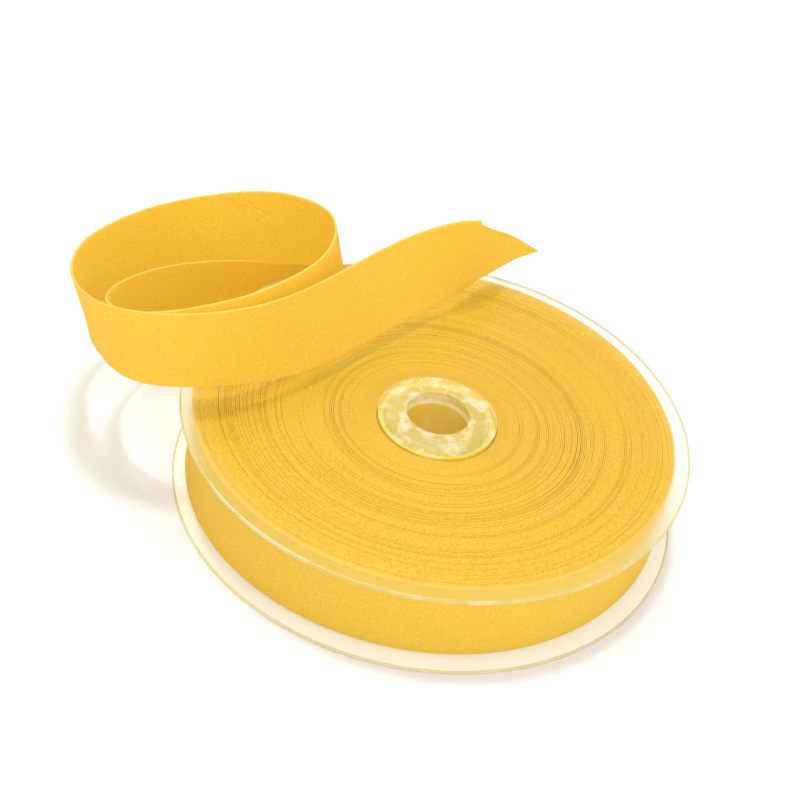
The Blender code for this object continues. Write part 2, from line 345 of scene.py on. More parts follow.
def rounded(corners, radius, steps=5):
    """Closed outline with each corner rounded by an arc, and a point beside each arc.

    corners are rows of (r, z). The arc's ends lie radius / tan(half the corner's angle)
    from the corner, and its points are the circle's, read at even angles.
    """
    corners = np.array(corners)
    radius = np.broadcast_to(radius, len(corners))
    outline = []
    for i, corner in enumerate(corners):
        back = corners[i - 1] - corner
        ahead = corners[(i + 1) % len(corners)] - corner
        back /= np.linalg.norm(back)
        ahead /= np.linalg.norm(ahead)
        half = 0.5 * math.acos(np.clip(back @ ahead, -1.0, 1.0))
        reach = radius[i] / math.tan(half)
        middle = back + ahead
        centre = corner + middle / np.linalg.norm(middle) * radius[i] / math.sin(half)
        start = corner + back * reach - centre
        end = corner + ahead * reach - centre
        turn = math.atan2(start[0] * end[1] - start[1] * end[0], start @ end)
        angles = np.linspace(0.0, turn, steps)[:, None]
        side = np.array([-start[1], start[0]])
        outline.append(corner + back * (reach + 0.4 * radius[i]))
        outline += list(centre + np.cos(angles) * start + np.sin(angles) * side)
        outline.append(corner + ahead * (reach + 0.4 * radius[i]))
    return np.array(outline)


def ring(inner, outer, low, high):
    """Corners of the cross-section of a plain ring or tube."""
    return [(inner, low), (outer, low), (outer, high), (inner, high)]


def lathe(profile, steps):
    """Points (r cos a, r sin a, z) of a closed profile turned about the reel's axis."""
    angle = 2.0 * math.pi * np.arange(steps)[:, None] / steps
    r, z = profile[:, 0], profile[:, 1]
    x = AXIS[0] + r * np.cos(angle)
    y = AXIS[1] + r * np.sin(angle)
    return np.stack([x, y, np.broadcast_to(z, x.shape)], axis=-1)


def lathe_uv(profile, steps):
    """Corner coordinates of a turned piece: length round its rim, and length down its profile."""
    closed = np.vstack([profile, profile[:1]])
    down = np.concatenate([[0.0], np.cumsum(np.linalg.norm(np.diff(closed, axis=0), axis=1))])
    around = 2.0 * math.pi * profile[:, 0].max() * np.arange(steps + 1) / steps
    grid = np.stack(np.meshgrid(around, down, indexing="ij"), axis=-1)
    return grid.reshape(-1, 2)[grid_faces(steps + 1, len(closed))]


def turned_piece(name, profile, steps, materials, node, shape=None, breaks=()):
    """A closed profile turned about the reel's axis; shape may then move its points.

    breaks are the radii at which one material gives way to the next on the way out.
    """
    points = lathe(profile, steps)
    if shape is not None:
        points = shape(points)
    faces = grid_faces(steps, len(profile), wrap_rows=True, wrap_columns=True)
    r = profile[:, 0]
    middle = 0.5 * (r + np.roll(r, -1))
    zones = np.tile(np.searchsorted(np.array(breaks), middle), steps)
    return add_piece(name, points.reshape(-1, 3), faces, lathe_uv(profile, steps),
                     materials, node, zones)


def natural_spline(at, values, wanted):
    """Natural cubic curve through values at the lengths given, read at other lengths.

    Its second slopes solve the usual three-term rows, and are zero at both ends.
    """
    count = len(at)
    span = np.diff(at)
    matrix = np.eye(count)
    right = np.zeros_like(values)
    inner = np.arange(1, count - 1)
    matrix[inner, inner - 1] = span[:-1]
    matrix[inner, inner] = 2.0 * (span[:-1] + span[1:])
    matrix[inner, inner + 1] = span[1:]
    slopes = np.diff(values, axis=0) / span[:, None]
    right[inner] = 6.0 * np.diff(slopes, axis=0)
    bend = np.linalg.solve(matrix, right)
    flat = wanted.ravel()
    k = np.clip(np.searchsorted(at, flat, side="right") - 1, 0, count - 2)
    h = span[k][:, None]
    a = (at[k + 1] - flat)[:, None] / h
    b = (flat - at[k])[:, None] / h
    curved = (a ** 3 - a) * bend[k] + (b ** 3 - b) * bend[k + 1]
    found = a * values[k] + b * values[k + 1] + h ** 2 / 6.0 * curved
    return found.reshape(*wanted.shape, values.shape[1])


def outline_wave(angle, settings):
    """How far the outer turns stand out at an angle: two sines that fade where the strip leaves."""
    share = np.mod(angle - settings.leave_angle, 2.0 * math.pi) / (2.0 * math.pi)
    two = 0.20 * MM * np.sin(2.0 * angle + math.radians(35.0))
    five = 0.12 * MM * np.sin(5.0 * angle + math.radians(80.0))
    return np.sin(math.pi * share) * (two + five)


def node_group(name, inputs, outputs):
    """New shader node group with the named sockets, and its input and output nodes."""
    group = bpy.data.node_groups.new(name, 'ShaderNodeTree')
    for label, value in inputs:
        socket = group.interface.new_socket(label, in_out='INPUT',
                                            socket_type='NodeSocketFloat')
        socket.default_value = value
    for label in outputs:
        group.interface.new_socket(label, in_out='OUTPUT', socket_type='NodeSocketFloat')
    return group, group.nodes.new('NodeGroupInput'), group.nodes.new('NodeGroupOutput')


def set_inputs(tree, node, **values):
    """Links each value that is a socket to the node's input, and sets any other value.

    Input names have underscores for spaces, and in0, in1 and so on are inputs by number.
    """
    for key, value in values.items():
        by_number = key[:2] == "in" and key[2:].isdigit()
        socket = node.inputs[int(key[2:]) if by_number else key.replace("_", " ")]
        if isinstance(value, bpy.types.NodeSocket):
            tree.links.new(value, socket)
        else:
            socket.default_value = value


def add_node(tree, kind, settings=None, **values):
    """Shader node with its settings, and with its inputs set or linked."""
    node = tree.nodes.new(kind)
    for key, value in (settings or {}).items():
        setattr(node, key, value)
    set_inputs(tree, node, **values)
    return node


def add_math(tree, operation, first, second=0.0, third=0.0, clamp=False):
    """Result of a Math node on numbers or sockets."""
    node = add_node(tree, 'ShaderNodeMath', {"operation": operation, "use_clamp": clamp},
                    in0=first, in1=second, in2=third)
    return node.outputs[0]


def add_mix(tree, factor, first, second):
    """Colour between two colours or sockets."""
    node = add_node(tree, 'ShaderNodeMix', {"data_type": 'RGBA'}, in0=factor, in6=first,
                    in7=second)
    return node.outputs[2]


def add_group(tree, name, build, **values):
    """Node for a group by name, which is built the first time it is asked for."""
    group = bpy.data.node_groups.get(name) or build(name)
    return add_node(tree, 'ShaderNodeGroup', {"node_tree": group}, **values)


def new_material(name):
    """New material, its node tree and its shader."""
    material = bpy.data.materials.new(name)
    material.use_nodes = True
    tree = material.node_tree
    return material, tree, tree.nodes["Principled BSDF"]


def let_light_through(tree, shader, tint, lamps=1.0, pieces=1.0):
    """Lets a share of the light of lamps and of nearby pieces pass straight through."""
    through = add_node(tree, 'ShaderNodeBsdfTransparent', Color=(*tint, 1.0))
    path = add_node(tree, 'ShaderNodeLightPath')
    light = add_math(tree, 'MULTIPLY', path.outputs["Is Diffuse Ray"], pieces)
    light = add_math(tree, 'MULTIPLY_ADD', path.outputs["Is Shadow Ray"], lamps, light, clamp=True)
    mix = add_node(tree, 'ShaderNodeMixShader', in0=light, in1=shader.outputs[0],
                   in2=through.outputs[0])
    set_inputs(tree, tree.nodes["Material Output"], Surface=mix.outputs[0])


def weave_group(name):
    """Plain weave on the bias: two crossed sets of threads at 45 degrees to the strip.

    Along each set the thread's height is a sine of the thread number, and the two sets
    take turns on top as the sign of the product of two slower sines says. Long soft noise
    along each set makes thick and thin stretches of yarn.
    """
    group, inside, outside = node_group(
        name,
        [("Thread pitch", 0.4 * MM)],
        ["Height", "Mottle"])
    uv = add_node(group, 'ShaderNodeUVMap', {"uv_map": "cloth"})
    turned = add_node(group, 'ShaderNodeMapping', Vector=uv.outputs[0],
                      Rotation=(0.0, 0.0, math.radians(45.0)))
    split = add_node(group, 'ShaderNodeSeparateXYZ', Vector=turned.outputs[0])
    turn = add_math(group, 'DIVIDE', math.pi, inside.outputs["Thread pitch"])
    warp = add_math(group, 'SINE', add_math(group, 'MULTIPLY', split.outputs[0], turn))
    weft = add_math(group, 'SINE', add_math(group, 'MULTIPLY', split.outputs[1], turn))
    warp_up = add_math(group, 'ABSOLUTE', warp)
    weft_up = add_math(group, 'ABSOLUTE', weft)
    over = add_math(group, 'MULTIPLY', warp, weft)
    share = add_math(group, 'MULTIPLY_ADD', over, 0.5, 0.5)
    first = add_math(group, 'MULTIPLY', warp_up, share)
    second = add_math(group, 'MULTIPLY', weft_up, add_math(group, 'SUBTRACT', 1.0, share))
    height = add_math(group, 'ADD', first, second)
    mottle = 0.0
    for fine_x, fine_y, share in YARN:
        stretched = add_node(group, 'ShaderNodeMapping', Vector=turned.outputs[0],
                             Scale=(fine_x, fine_y, 1.0))
        noise = add_node(group, 'ShaderNodeTexNoise', {"noise_dimensions": '2D'},
                         Vector=stretched.outputs[0], Scale=1.0, Detail=2.0, Roughness=0.6)
        centred = add_math(group, 'SUBTRACT', noise.outputs["Fac"], 0.5)
        mottle = add_math(group, 'MULTIPLY_ADD', centred, share, mottle)
    set_inputs(group, outside, Height=height, Mottle=mottle)
    return group


def cotton(name, finish, contrast, fold_at=None, loose_from=0.0):
    """Matt dyed cotton on the piece's own cloth coordinates.

    With fold_at, the cloth is paler along its folds, partly from wear and partly as a painted
    highlight where the folded edges catch the light. It lets some light through, and from the
    length loose_from on, where it hangs free, part of the light on one side shows on the
    other. That share rises evenly over GLOW_RISE.
    """
    material, tree, shader = new_material(name)
    threads = add_group(tree, "Bias weave", weave_group, Thread_pitch=finish.thread_pitch)
    mottle, height = threads.outputs["Mottle"], threads.outputs["Height"]
    shade = add_math(tree, 'MULTIPLY_ADD', mottle, contrast, 0.5, clamp=True)
    colour = add_mix(tree, shade, (*finish.cotton, 1.0), (*finish.cotton_shade, 1.0))
    surface = shader
    if fold_at:
        uv = add_node(tree, 'ShaderNodeUVMap', {"uv_map": "cloth"})
        split = add_node(tree, 'ShaderNodeSeparateXYZ', Vector=uv.outputs[0])
        away = add_math(tree, 'ABSOLUTE', split.outputs[1])
        away = add_math(tree, 'ABSOLUTE', add_math(tree, 'SUBTRACT', away, fold_at))
        # painted highlight mixed with wear: the colour turns paler near each folded edge
        fold_wear_and_highlight = add_math(tree, 'MULTIPLY_ADD', away, -1.0 / FOLD_WEAR_AND_HIGHLIGHT_WIDTH, 1.0, clamp=True)
        fold_wear_and_highlight = add_math(tree, 'MULTIPLY', fold_wear_and_highlight, FOLD_WEAR_AND_HIGHLIGHT_SHARE)
        colour = add_mix(tree, fold_wear_and_highlight, colour, (*finish.cotton_fold_wear_and_highlight, 1.0))
        rise = add_math(tree, 'MULTIPLY_ADD', split.outputs[0], 1.0 / GLOW_RISE,
                        -loose_from / GLOW_RISE, clamp=True)
        share = add_math(tree, 'MULTIPLY', rise, GLOW_THROUGH)
        passed = add_mix(tree, share, (0.0, 0.0, 0.0, 1.0), colour)
        lit = add_node(tree, 'ShaderNodeBsdfTranslucent', Color=passed)
        surface = add_node(tree, 'ShaderNodeAddShader', in0=shader.outputs[0],
                           in1=lit.outputs[0])
        let_light_through(tree, surface, (0.99, 0.965, 0.66), lamps=0.70, pieces=0.98)
    fine = add_math(tree, 'MULTIPLY_ADD', mottle, 0.9, height)
    bump = add_node(tree, 'ShaderNodeBump', Height=fine, Strength=0.5,
                    Distance=0.3 * finish.thread_pitch)
    set_inputs(tree, shader, Base_Color=colour, Normal=bump.outputs["Normal"], Roughness=0.88,
               Specular_IOR_Level=0.12, Sheen_Weight=0.04, Sheen_Roughness=0.5)
    return material


def haze_and_painted_light_group(name):
    """Moulded plastic's cloudy places, which also carry painted glow and pale patches: soft noise
    that starts at a radius from the axis.
    """
    group, inside, outside = node_group(
        name,
        [("Inner radius", 0.0), ("Blend", 1.0 * MM), ("Cloud size", 5.0 * MM)],
        ["Mask", "Cloud"])
    place = add_node(group, 'ShaderNodeTexCoord')
    centred = add_node(group, 'ShaderNodeMapping', Vector=place.outputs["Object"],
                       Location=(-AXIS[0], -AXIS[1], 0.0))
    flat = add_node(group, 'ShaderNodeMapping', Vector=centred.outputs[0], Scale=(1.0, 1.0, 0.0))
    length = add_node(group, 'ShaderNodeVectorMath', {"operation": 'LENGTH'}, in0=flat.outputs[0])
    radius = length.outputs["Value"]
    mask = add_math(group, 'SUBTRACT', radius, inside.outputs["Inner radius"])
    mask = add_math(group, 'DIVIDE', mask, inside.outputs["Blend"], clamp=True)
    scale = add_math(group, 'DIVIDE', 1.0, inside.outputs["Cloud size"])
    noise = add_node(group, 'ShaderNodeTexNoise', Vector=centred.outputs[0], Scale=scale,
                     Detail=3.0, Roughness=0.55)
    patch = add_node(group, 'ShaderNodeMapRange', {"interpolation_type": 'SMOOTHSTEP'},
                     Value=noise.outputs["Fac"], From_Min=0.42, From_Max=0.68)
    cloud = add_math(group, 'MULTIPLY', patch.outputs["Result"], mask)
    set_inputs(group, outside, Mask=mask, Cloud=cloud)
    return group


def clear_plastic(name, finish, inner, blend, rough, glow, glow_tint):
    """Clear moulded plastic that lamps shine through unbent, cloudy outside a radius.

    The cloudy zone fades in over the length blend, is rougher, and gives off a faint glow in
    the glow tint, a painted glow of light piped and scattered in the plastic. The low IOR stands
    for a thin wall, which bends the view little.
    """
    material, tree, shader = new_material(name)
    haze_and_painted_light = add_group(tree, "Moulding haze", haze_and_painted_light_group, Inner_radius=inner, Blend=blend)
    mask = haze_and_painted_light.outputs["Mask"]
    frost = add_math(tree, 'MULTIPLY_ADD', mask, rough, 0.02)
    # painted glow: the cloudy zone gives off the glow tint, standing for light piped and scattered
    # in the plastic
    painted_glow = add_mix(tree, mask, (0.0, 0.0, 0.0, 1.0), (*glow_tint, 1.0))
    set_inputs(tree, shader, Base_Color=(*finish.plastic, 1.0), Transmission_Weight=1.0,
               IOR=1.18, Roughness=frost, Emission_Color=painted_glow, Emission_Strength=glow)
    let_light_through(tree, shader, (0.98, 0.975, 0.94))
    return material


def milky_plastic(name, colour, cover, cloud, white=0.25, patchy=0.2, glow=0.0):
    """Plastic that shows a colour of its own: part of what is behind it shows through.

    Its cloudy patches are whiter by the share white, partly moulding haze and partly painted bright
    patches of light bent through the plastic, and cover more by the share patchy. With glow it
    gives off its own shade as a painted glow of piped light.
    """
    material, tree, shader = new_material(name)
    haze_and_painted_light = add_group(tree, "Moulding haze", haze_and_painted_light_group, Cloud_size=cloud)
    # whiter patches: partly moulding haze, partly painted bright patches of light bent through the
    # plastic
    pale = [(1.0 - white) * part + white for part in colour]
    shade = add_mix(tree, haze_and_painted_light.outputs["Cloud"], (*colour, 1.0), (*pale, 1.0))
    solid = add_math(tree, 'MULTIPLY_ADD', haze_and_painted_light.outputs["Cloud"], patchy,
                     cover - 0.5 * patchy)
    set_inputs(tree, shader, Base_Color=shade, Alpha=solid, Roughness=0.3)
    # painted glow: the plastic gives off its own colour, standing for light piped through it
    if glow:
        set_inputs(tree, shader, Emission_Color=shade, Emission_Strength=glow)
    let_light_through(tree, shader, (0.985, 0.98, 0.95))
    return material


class BINDING_OT_reel_discs(bpy.types.Operator):
    """Lower and upper clear discs, with the raised centre, its dimples and its collar"""

    bl_idname = "binding.reel_discs"
    bl_label = "Reel discs"

    def execute(self, context):
        reel = context.scene.binding_reel
        finish = context.scene.binding_finish
        rim = reel.rim_round
        low = ring(reel.bore_radius, reel.disc_radius, 0.0, DISC_T)
        # glow and glow_tint paint a faint glow of piped light into the lower disc's cloudy edge
        lower = clear_plastic("lower disc plastic", finish, inner=60 * MM, blend=5 * MM,
                              rough=0.10, glow=0.11, glow_tint=(1.0, 0.88, 0.62))
        # the rims show painted light: a golden colour for the cloth's light piped along the plastic
        # edges
        edge = milky_plastic("rim plastic", finish.rim, cover=0.72, cloud=12 * MM)
        edge_radius = reel.disc_radius - 0.55 * MM
        turned_piece("lower_disc", rounded(low, rim), reel.turn_steps, [lower, edge],
                     "flange_bottom", breaks=(edge_radius,))
        under = UPPER_DISC[1].z - reel.boss_rise - DISC_T
        face = under + DISC_T
        collar = reel.bore_radius + reel.collar_wall
        corners = [
            (reel.bore_radius, UPPER_DISC[0].z),
            (collar, UPPER_DISC[0].z),
            (collar, under),
            (reel.disc_radius, under),
            (reel.disc_radius, face),
            (reel.boss_radius, face),
            (reel.boss_flat, UPPER_DISC[1].z),
            (reel.bore_radius, UPPER_DISC[1].z),
        ]
        radii = [rim, rim, 0.2 * MM, rim, rim, 0.3 * MM, 0.7 * MM, 0.5 * MM]
        outline = self.crown(rounded(corners, radii), reel)
        # glow and glow_tint paint a faint glow of piped light into the upper disc's cloudy edge
        upper = clear_plastic("upper disc plastic", finish, inner=64.5 * MM, blend=6 * MM,
                              rough=0.60, glow=0.03, glow_tint=(0.5, 0.9, 0.4))
        # the raised centre's whiter patches are partly painted: bright patches of light bent through
        # it
        hub = milky_plastic("raised centre plastic", finish.hub, cover=0.58, cloud=5 * MM,
                            white=0.50, patchy=0.30)
        turned_piece("upper_disc", outline, reel.turn_steps, [hub, upper, edge],
                     "flange_top", lambda points: self.dimple(points, reel),
                     breaks=(reel.boss_radius + 0.2 * MM, edge_radius))
        return {'FINISHED'}

    def crown(self, outline, reel):
        """Adds points between the ends of the raised centre's top, so that it can be dimpled."""
        fine = np.linspace(reel.boss_flat, reel.bore_radius + 1.2 * MM, 22)[1:-1]
        on_top = outline[:, 1] > UPPER_DISC[1].z - TINY
        last = np.flatnonzero(on_top & (outline[:, 0] > reel.boss_flat - 2 * MM))[-1]
        fine = fine[fine < outline[last, 0] - 0.1 * MM]
        added = np.stack([fine, np.full(len(fine), UPPER_DISC[1].z)], axis=1)
        return np.vstack([outline[:last + 1], added, outline[last + 1:]])

    def dimple(self, points, reel):
        """Lowers points of the raised centre by depth * (1 - smoothstep(distance / radius))."""
        for i in range(reel.dimple_count):
            angle = reel.dimple_first + 2.0 * math.pi * i / reel.dimple_count
            place = AXIS + reel.dimple_ring * np.array([math.cos(angle), math.sin(angle)])
            away = np.linalg.norm(points[..., :2] - place, axis=-1) / reel.dimple_radius
            drop = reel.dimple_depth * (1.0 - smoothstep(1.6 * away - 0.6))
            top = points[..., 2] > UPPER_DISC[1].z - TINY
            points[..., 2] -= np.where(top, drop, 0.0)
        return points


class BINDING_OT_hub_tubes(bpy.types.Operator):
    """Core tube that carries the turns, and the tube round the spindle bore"""

    bl_idname = "binding.hub_tubes"
    bl_label = "Hub tubes"

    def execute(self, context):
        reel = context.scene.binding_reel
        finish = context.scene.binding_finish
        # the core's glow is painted light, brightening the bore as light piped into it would
        core = milky_plastic("core plastic", finish.core, cover=0.90, cloud=8 * MM, glow=0.05)
        bore = milky_plastic("bore plastic", finish.core, cover=0.30, cloud=2.5 * MM, white=0.1,
                             patchy=0.05)
        tubes = (
            ("hub_core", "core_tube", CORE_TUBE, reel.core_wall, core),
            ("hub_bore", "bore_tube", BORE_TUBE, reel.collar_wall, bore),
        )
        for name, node, box, wall, material in tubes:
            out = 0.5 * (box[1].x - box[0].x)
            corners = ring(out - wall, out, box[0].z, box[1].z)
            turned_piece(name, rounded(corners, 0.25 * MM), reel.turn_steps, [material],
                         node)
        return {'FINISHED'}


class BINDING_OT_wound_turns(bpy.types.Operator):
    """Inner turns of the binding as one spiral body, each turn with its folded edges"""

    bl_idname = "binding.wound_turns"
    bl_label = "Wound turns"

    def execute(self, context):
        binding = context.scene.binding_sizes
        finish = context.scene.binding_finish
        steps, turns = binding.turn_steps, binding.turns
        turn = np.arange(-steps, turns * steps + 1) / steps
        angle = binding.leave_angle + 2.0 * math.pi * (turn - OVERLAP)
        radius = self.radius(turn, binding)
        step = radius - self.radius(turn - 1.0, binding)
        share = (radius - radius[0]) / (radius[-1] - radius[0])
        half = 0.5 * binding.width
        middle = 0.5 * (WOUND_LOW + WOUND_HIGH)
        length = (turn - turn[0]) * 2.0 * math.pi * THREAD_RADIUS
        rng = np.random.default_rng(11)
        rows = []
        coordinates = []
        for side in (1.0, -1.0):
            ridge, groove = self.edges(turn, share, rng, turns)
            for inward, back in ((0.0, groove), (0.80, ridge), (0.22, ridge)):
                skip = 0 if inward == 0.0 else steps
                r = radius - inward * step
                row = self.place(angle, r, share, middle + side * (half - back), binding)
                rows.append(row[skip:])
                coordinates.append(np.stack([length, r + row[:, 2]], axis=1)[skip:])
        points = np.concatenate(rows)
        uv = np.concatenate(coordinates)
        faces = self.join([len(row) for row in rows], steps)
        material = cotton("wound cotton", finish, 1.5)
        add_piece("wound_turns", points, faces, uv[faces], [material], "winding")
        return {'FINISHED'}

    def radius(self, turn, binding):
        """Spiral of even pitch, with a wider step under the last turn."""
        inner = CORE_R + 0.3 * MM
        outer = (binding.leave_radius + 0.5 * binding.fold_thickness
                 - binding.last_pitch * (OVERLAP + 1.0))
        pitch = (outer - binding.last_pitch - inner) / binding.turns
        last = np.maximum(turn - (binding.turns - 1.0), 0.0)
        return inner + pitch * (turn + 1.0 - last) + binding.last_pitch * last

    def edges(self, turn, share, rng, turns):
        """How far the ridges and grooves of one side stand back from the binding's width.

        Both follow the bands, and each turn adds its own slow random line. Many grooves
        open a little for part of a turn, and a few open wide.
        """
        bands = np.interp(share, *zip(*BANDS))
        place = turn + 1.0
        uneven = knots(rng, 5 * (turns + 2), 0.0, 0.07 * MM)
        often = knots(rng, 3 * (turns + 2), -1.0, 1.0)
        rarely = knots(rng, 2 * (turns + 2), -8.0, 1.5)
        ridge = bands + uneven(5.0 * place)
        calm = smoothstep((share - 0.10) / 0.06)
        opening = 0.13 + calm * (0.30 * smoothstep(often(3.0 * place))
                                 + 0.90 * smoothstep(rarely(2.0 * place)))
        return ridge, ridge + opening * MM

    def place(self, angle, radius, share, z, binding):
        """Points at radius + wave, about a centre that shifts off the axis on the way out."""
        r = radius + outline_wave(angle, binding) * share ** 3
        x = AXIS[0] + binding.off_x * share + r * np.cos(angle)
        y = AXIS[1] + binding.off_y * share + r * np.sin(angle)
        return np.stack([x, y, z], axis=1)

    def join(self, counts, steps):
        """Faces of the closed body: three strips a turn above and below, two walls, two ends.

        The rows are the groove, the turn's inner ridge and its outer ridge, above and then
        below. A groove row starts one turn earlier than the ridges.
        """
        first = np.concatenate([[0], np.cumsum(counts)])
        above, below = first[:3], first[3:6]

        def across(side, k):
            """Points at step k on the groove, the inner ridge, the outer one, the next groove."""
            return np.stack([side[0] + k, side[1] + k, side[2] + k, side[0] + steps + k])

        faces = []
        for side, turn in ((above, 1), (below, -1)):
            lines = across(side, np.arange(counts[1] - 1))
            a, b = lines[:-1], lines[1:]
            strips = np.stack([a, a + 1, b + 1, b], axis=-1).reshape(-1, 4)
            faces.append(strips[:, ::turn])
        top, low = above[0], below[0]
        w = np.arange(steps)
        faces.append(np.stack([top + w, low + w, low + w + 1, top + w + 1], axis=1))
        w = w + counts[0] - 1 - steps
        faces.append(np.stack([top + w, top + w + 1, low + w + 1, low + w], axis=1))
        for k, turn in ((0, 1), (counts[1] - 1, -1)):
            a, b = across(above, k), across(below, k)
            ends = np.stack([a[:-1], a[1:], b[1:], b[:-1]], axis=1)
            faces.append(ends[:, ::turn])
        return np.concatenate(faces)


class BINDING_OT_loose_binding(bpy.types.Operator):
    """Last turn and loose length of the folded binding, as one sheet of real thickness"""

    bl_idname = "binding.loose_binding"
    bl_label = "Loose binding"

    def execute(self, context):
        binding = context.scene.binding_sizes
        finish = context.scene.binding_finish
        at, middles, widths, leave = self.route(binding)
        section = self.section(binding)
        rows = self.rows(at, leave, binding)
        points, along = self.strip(at, middles, widths, leave, rows, section, binding)
        count, columns = along.shape
        faces = grid_faces(count, columns, wrap_columns=True)
        cloth = np.append(section["cloth"], section["cloth"][:1])
        v = np.broadcast_to(cloth, (count, columns + 1))
        u = np.concatenate([along, along[:, :1]], axis=1)
        grid = np.stack([u, v], axis=-1).reshape(-1, 2)
        uv = grid[grid_faces(count, columns + 1)]
        k = np.arange(columns // 2 - 1)
        start = np.stack([k, columns - 1 - k, columns - 2 - k, k + 1], axis=1)
        end = start[:, ::-1] + (count - 1) * columns
        flat = np.stack([along, v[:, :columns]], axis=-1).reshape(-1, 2)
        faces = np.concatenate([faces, start, end])
        uv = np.concatenate([uv, flat[start], flat[end]])
        material = cotton("loose cotton", finish, 0.8, fold_at=0.5 * binding.width,
                          loose_from=float(leave))
        piece = add_piece("loose_binding", points.reshape(-1, 3), faces, uv, [material],
                          "loose_end")
        return {'FINISHED'}

    def route(self, binding):
        """Lengths, middle points and width directions: the last turn's spiral, then the stations."""
        turn = np.linspace(-1.0 - OVERLAP, 0.0, 40)
        angle = binding.leave_angle + 2.0 * math.pi * turn
        radius = binding.leave_radius + binding.last_pitch * turn
        radius = radius + outline_wave(angle, binding)
        z = np.full_like(turn, 0.5 * (WOUND_LOW + WOUND_HIGH))
        wound = np.stack([AXIS[0] + binding.off_x + radius * np.cos(angle),
                          AXIS[1] + binding.off_y + radius * np.sin(angle), z], axis=1)
        stations = np.array(STATIONS)
        free = stations[:, :3] * MM + (AXIS[0], AXIS[1], 0.0)
        lean = np.radians(stations[:, 3:])
        leaning = np.stack([-np.tan(lean[:, 0]), np.tan(lean[:, 1]), np.ones(len(lean))], axis=1)
        upright = np.broadcast_to([0.0, 0.0, 1.0], wound.shape)
        middles = np.concatenate([wound, free])
        widths = unit(np.concatenate([upright, leaning]))
        steps = np.linalg.norm(np.diff(middles, axis=0), axis=1)
        at = np.concatenate([[0.0], np.cumsum(steps)])
        return at, middles, widths, at[len(wound) - 1]

    def section(self, binding):
        """Closed outline of the folded cloth across the strip.

        The outer skin runs from the lower raw edge round the lower fold, across the face,
        round the upper fold and back to the upper raw edge, and the inner skin runs back
        one thickness inside it. Half the strip's thickness is
        middle + (fold - middle) * (distance from the middle)^4. cloth is the length along
        the unfolded cloth, from its middle.
        """
        half = 0.5 * binding.width
        fold = 0.5 * binding.fold_thickness
        middle = 0.5 * binding.middle_thickness
        flat = half - fold
        face = np.linspace(-flat, flat, 17)
        flap = np.linspace(0.5 * binding.raw_gap, flat, 9)
        bend = np.radians(np.linspace(90.0, -90.0, 9))[1:-1]
        skins = []
        for inset in (0.0, binding.cloth):
            def lift(a):
                return middle + (fold - middle) * (np.abs(a) / flat) ** 4 - inset
            radius = fold - inset
            parts = (
                (-flap, -lift(flap), flap - binding.width, -1.0),
                (-flat - radius * np.cos(bend), -radius * np.sin(bend), -half, -np.sin(bend)),
                (face, lift(face), face, 1.0),
                (flat + radius * np.cos(bend), radius * np.sin(bend), half, np.sin(bend)),
                (flap[::-1], -lift(flap[::-1]), binding.width - flap[::-1], -1.0),
            )
            skin = np.concatenate([np.stack(np.broadcast_arrays(*part), axis=1)
                                   for part in parts])
            skins.append(skin if inset == 0.0 else skin[::-1])
        outline = np.concatenate(skins)
        return {"across": outline[:, 0], "lift": outline[:, 1], "cloth": outline[:, 2],
                "side": outline[:, 3], "skin": np.arange(len(outline)) < len(outline) // 2}

    def rows(self, at, leave, binding):
        """Lengths of the rows: wider apart on the roll, close together at the seam."""
        wound = np.arange(0.0, leave, ROLL_STEP)
        loose = np.arange(leave, at[-1] - 0.5 * MM, LOOSE_STEP)
        seam = leave + binding.seam_at
        near = seam + np.array([-0.75, -0.5, -0.25, 0.0, 0.25, 0.5, 0.75]) * MM
        loose = loose[np.abs(loose - seam) > 1.0 * MM]
        return np.sort(np.concatenate([wound, loose, near, [at[-1]]]))

    def strip(self, at, middles, widths, leave, rows, section, binding):
        """Points of the strip: middle + width * across + face * lift at each length.

        Each point slides along the strip, by the slant of the cut near its end and by the
        seam's slope near the seam, so that rows of points run along both.
        """
        across = section["across"][None, :]
        seam = leave + binding.seam_at
        skew = smoothstep(1.0 - np.abs(rows - seam) / SEAM_BLEND)[:, None]
        ease = smoothstep((rows - at[-1] + CUT_BLEND) / CUT_BLEND)[:, None]
        up = (across + 0.5 * binding.width) / (binding.width - binding.cut_blunt)
        up = np.clip(up, 0.0, 1.0)
        slant = binding.cut_run * up - CUT_BOW * (up * (1.0 - up)) ** 1.3
        slant = slant + 0.6 * np.maximum(across + binding.cut_blunt - 0.5 * binding.width, 0.0)
        wanted = rows[:, None] + skew * binding.seam_slope * section["cloth"][None, :]
        wanted = wanted - ease * slant
        small = 0.05 * MM
        middle = natural_spline(at, middles, wanted)
        ahead = natural_spline(at, middles, wanted + small)
        ahead = unit(ahead - natural_spline(at, middles, wanted - small))
        width = natural_spline(at, widths, wanted)
        width = unit(width - (width * ahead).sum(axis=-1)[..., None] * ahead)
        face = np.cross(ahead, width)
        lift = section["lift"][None, :] + self.relief(wanted, rows, seam, section, leave)
        across = across + self.limp_end(across, at[-1] - rows[:, None], binding)
        points = middle + across[..., None] * width + lift[..., None] * face
        return points, wanted

    def limp_end(self, across, left, binding):
        """Droop of the cut end's corners, from how much is left to the cut.

        The upper corner sinks by a squared ease, and the lower edge pulls up a little
        before its tip and hangs at the tip, each as a bell curve.
        """
        half = 0.5 * binding.width
        upper = smoothstep(across / half) * smoothstep(1.0 - left / (9 * MM)) ** 2
        tip = np.exp(-(left / (3.5 * MM)) ** 2)
        waist = np.exp(-((left - 10.5 * MM) / (5 * MM)) ** 2)
        return MM * (smoothstep(-across / half) * (0.55 * waist - 0.45 * tip) - 0.6 * upper)

